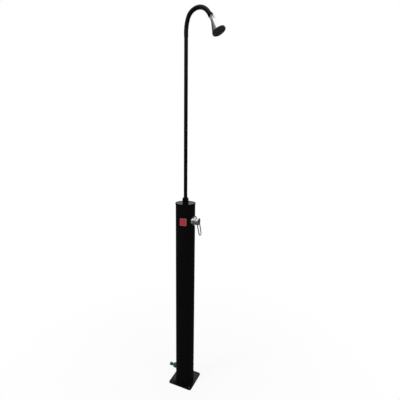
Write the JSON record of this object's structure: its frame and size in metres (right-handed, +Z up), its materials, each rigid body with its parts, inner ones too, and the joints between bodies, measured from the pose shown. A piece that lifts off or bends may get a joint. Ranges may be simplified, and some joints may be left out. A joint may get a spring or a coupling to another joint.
{
  "type": "outdoor shower post",
  "caption": "Free-standing outdoor shower: black water column on a square foot, single-lever mixer, thin riser with gooseneck and ball-jointed shower head.",
  "frame": {"origin": "centre of the foot's underside, on the column's axis", "axes": "+Z up along the column and riser, +X towards the mixer and the shower arm, -X towards the hose inlet"},
  "size_m": [0.3122, 0.15, 2.129],
  "materials": {
    "foot_paint": "glossy black powder coat",
    "screw_steel": "zinc plated",
    "inner_plastic": "dark grey moulded plastic",
    "column_black": "satin black pressure pipe",
    "cap_black": "glossy black moulded plastic",
    "seal_rubber": "black rubber",
    "badge_red": "glossy red plate, bare",
    "raw_brass": "machined brass",
    "adapter_green": "dark green plastic",
    "water_tube": "milky plastic tube",
    "chrome": "polished chrome on metal",
    "cartridge_plastic": "pale engineering plastic",
    "white_ceramic": "lapped white ceramic",
    "plug_grey": "grey plastic plug, bare",
    "pipe_black": "satin black coated pipe",
    "collar_black": "black plastic collar",
    "head_chrome": "chromed plastic",
    "face_black": "satin black plastic",
    "face_grey": "dark matte plastic",
    "nozzle_rubber": "soft black rubber"
  },
  "bodies": {
    "post": {"base_plate": "foot_paint", "foot_screws": "screw_steel", "bottom_plug": "inner_plastic", "column_tube": "column_black", "top_cap": "cap_black", "cap_ring": "seal_rubber", "badge": "badge_red", "inlet_nipple": "adapter_green", "inlet_gasket": "seal_rubber", "inlet_saddle": "seal_rubber", "inlet_backnut": "raw_brass", "inlet_tee": "raw_brass", "inlet_strainer": "seal_rubber", "hose_adapter": "adapter_green", "adapter_ring": "seal_rubber", "cold_tube": "water_tube", "hot_standpipe": "water_tube", "mixed_tube": "water_tube", "tube_nuts": "raw_brass", "mixer_body": "raw_brass", "mixer_gasket": "seal_rubber", "escutcheon": "chrome", "dome_cover": "chrome", "cartridge_housing": "cartridge_plastic", "cartridge_seal": "seal_rubber", "fixed_disc": "white_ceramic", "cartridge_nut": "raw_brass", "gland_body": "cap_black", "riser_ring": "seal_rubber", "gland_gasket": "seal_rubber", "gland_backnut": "cap_black", "gland_nut": "cap_black", "gland_ring": "cartridge_plastic"},
    "arm": {"riser_pipe": "pipe_black", "gooseneck": "pipe_black", "arm_collar": "collar_black", "ball_stem": "chrome"},
    "seat": {"ball_seat": "cartridge_plastic"},
    "gasket": {"ball_gasket": "seal_rubber"},
    "head": {"swivel_nut": "chrome", "head_shell": "head_chrome", "face_ring": "face_black", "spray_plate": "face_grey", "nozzles": "nozzle_rubber"},
    "sleeve": {"turning_sleeve": "cartridge_plastic", "lever_pin": "screw_steel"},
    "upper_disc": {"moving_disc": "white_ceramic", "disc_driver": "cartridge_plastic"},
    "lever": {"spindle": "raw_brass", "handle": "chrome", "grub_screw": "screw_steel", "index_plug": "plug_grey"}
  },
  "joints": [
    {"name": "arm_swivel", "type": "hinge", "parent": "post", "child": "arm", "pos_m": [0, 0, 1.137], "axis": [0, 0, 1], "continuous": true},
    {"name": "head_nod", "type": "hinge", "parent": "arm", "child": "seat", "pos_m": [0.14292, 0, 2.05927], "axis": [0, 1, 0], "range_deg": [-24.3, 7.7]},
    {"name": "head_sway", "type": "hinge", "parent": "seat", "child": "gasket", "pos_m": [0.14292, 0, 2.05927], "axis": [-0.8746, 0, -0.4848], "range_deg": [-12, 12]},
    {"name": "head_spin", "type": "hinge", "parent": "gasket", "child": "head", "pos_m": [0.14292, 0, 2.05927], "axis": [0.4848, 0, -0.8746], "continuous": true},
    {"name": "mixer_turn", "type": "hinge", "parent": "post", "child": "sleeve", "pos_m": [0.0575, 0, 1.038], "axis": [1, 0, 0], "range_deg": [-50, 50]},
    {"name": "mixer_lift", "type": "hinge", "parent": "sleeve", "child": "lever", "pos_m": [0.0575, 0, 1.038], "axis": [0, -1, 0], "range_deg": [0, 25]},
    {"name": "disc_slide", "type": "slide", "parent": "sleeve", "child": "upper_disc", "axis": [0, 0, -1], "range_m": [0, 0.0031]}
  ],
  "couplings": [
    {"joint": "disc_slide", "follows": "mixer_lift", "m_per_rad": 0.0069}
  ]
}
